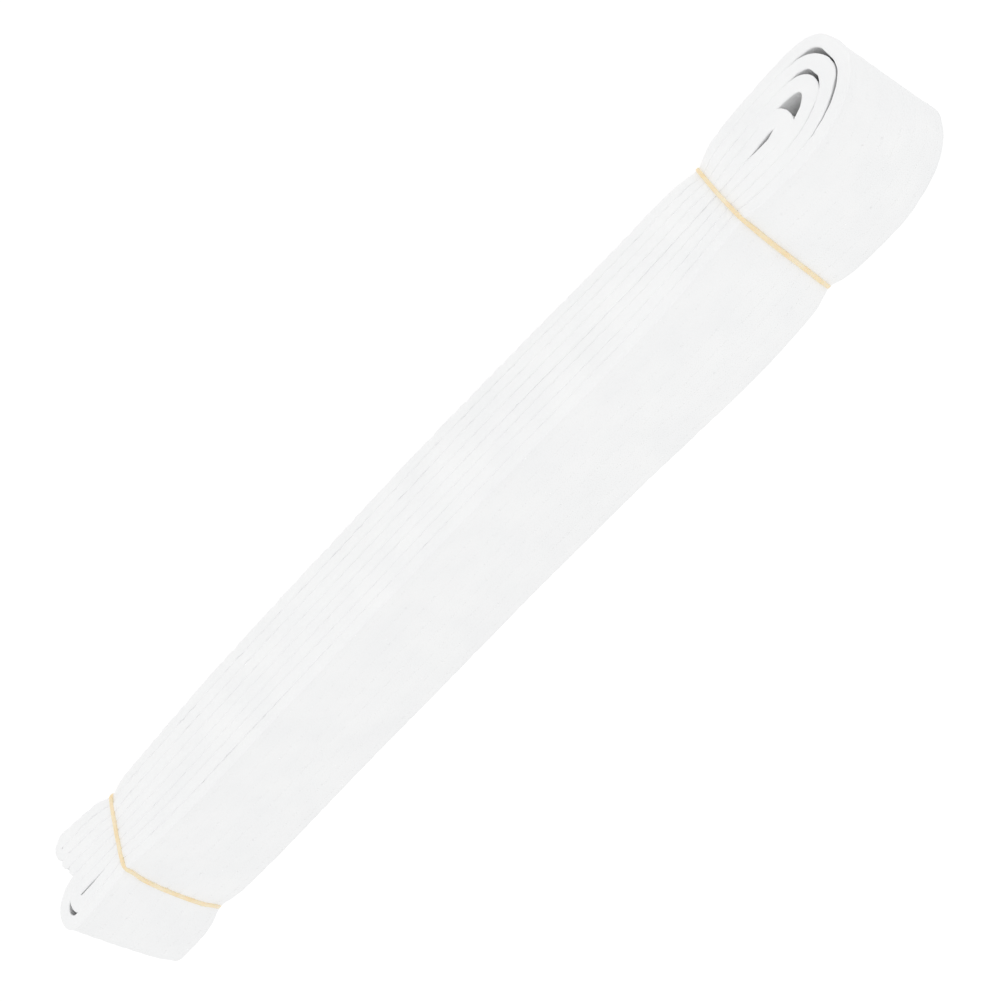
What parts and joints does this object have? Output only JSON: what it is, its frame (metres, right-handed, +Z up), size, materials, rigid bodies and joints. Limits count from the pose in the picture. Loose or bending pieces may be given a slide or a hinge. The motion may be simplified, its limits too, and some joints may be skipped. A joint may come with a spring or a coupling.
{
  "type": "martial arts belt",
  "caption": "Folded white cotton martial arts belt: a flat multi-row stitched strip folded lengthwise into a stack and held by two elastic bands.",
  "frame": {"origin": "centre of the face that the folded bundle rests on, below the middle of its length and width", "axes": "+X along the bundle from the four nested loops to the two lobes; +Y across the belt's width; +Z up through the stack, from the resting face to the wide upper face"},
  "size_m": [0.2981, 0.043, 0.0249],
  "materials": {
    "cover_cotton": "matte woven cotton",
    "core_cloth": "matte plain cloth",
    "thread": "soft sheen sewing thread",
    "elastic": "satin tan rubber"
  },
  "bodies": {
    "back_half": {"core_fold_12": "core_cloth", "core_fold_34": "core_cloth", "core_fold_45": "core_cloth", "core_fold_56": "core_cloth", "core_fold_78": "core_cloth", "core_panel_1": "core_cloth", "core_panel_4": "core_cloth", "core_panel_5": "core_cloth", "core_panel_8": "core_cloth", "cover_fold_12": "cover_cotton", "cover_fold_34": "cover_cotton", "cover_fold_45": "cover_cotton", "cover_fold_56": "cover_cotton", "cover_fold_78": "cover_cotton", "cover_panel_1": "cover_cotton", "cover_panel_4": "cover_cotton", "cover_panel_5": "cover_cotton", "cover_panel_8": "cover_cotton", "end_tack_1": "thread", "end_tack_8": "thread", "stitching_fold_12": "thread", "stitching_fold_34": "thread", "stitching_fold_45": "thread", "stitching_fold_56": "thread", "stitching_fold_78": "thread", "stitching_panel_1": "thread", "stitching_panel_4": "thread", "stitching_panel_5": "thread", "stitching_panel_8": "thread"},
    "front_half": {"core_fold_23": "core_cloth", "core_fold_67": "core_cloth", "core_panel_2": "core_cloth", "core_panel_3": "core_cloth", "core_panel_6": "core_cloth", "core_panel_7": "core_cloth", "cover_fold_23": "cover_cotton", "cover_fold_67": "cover_cotton", "cover_panel_2": "cover_cotton", "cover_panel_3": "cover_cotton", "cover_panel_6": "cover_cotton", "cover_panel_7": "cover_cotton", "stitching_fold_23": "thread", "stitching_fold_67": "thread", "stitching_panel_2": "thread", "stitching_panel_3": "thread", "stitching_panel_6": "thread", "stitching_panel_7": "thread"},
    "loop_band": {"loop_end_band": "elastic"},
    "lobe_band": {"lobe_end_band": "elastic"}
  },
  "joints": [
    {"name": "unfold", "type": "hinge", "parent": "back_half", "child": "front_half", "pos_m": [-0.1375, 0, 0.01244], "axis": [0, -1, 0], "range_deg": [0, 179.9], "deforming": ["core_fold_12", "core_fold_34", "core_fold_56", "core_fold_78", "cover_fold_12", "cover_fold_34", "cover_fold_56", "cover_fold_78", "stitching_fold_12", "stitching_fold_34", "stitching_fold_56", "stitching_fold_78"]},
    {"name": "loop_band_slide", "type": "slide", "parent": "back_half", "child": "loop_band", "axis": [-1, 0, 0], "range_m": [0, 0.063], "deforming": ["loop_end_band"]},
    {"name": "lobe_band_slide", "type": "slide", "parent": "back_half", "child": "lobe_band", "axis": [1, 0, 0], "range_m": [0, 0.06], "deforming": ["lobe_end_band"]}
  ]
}
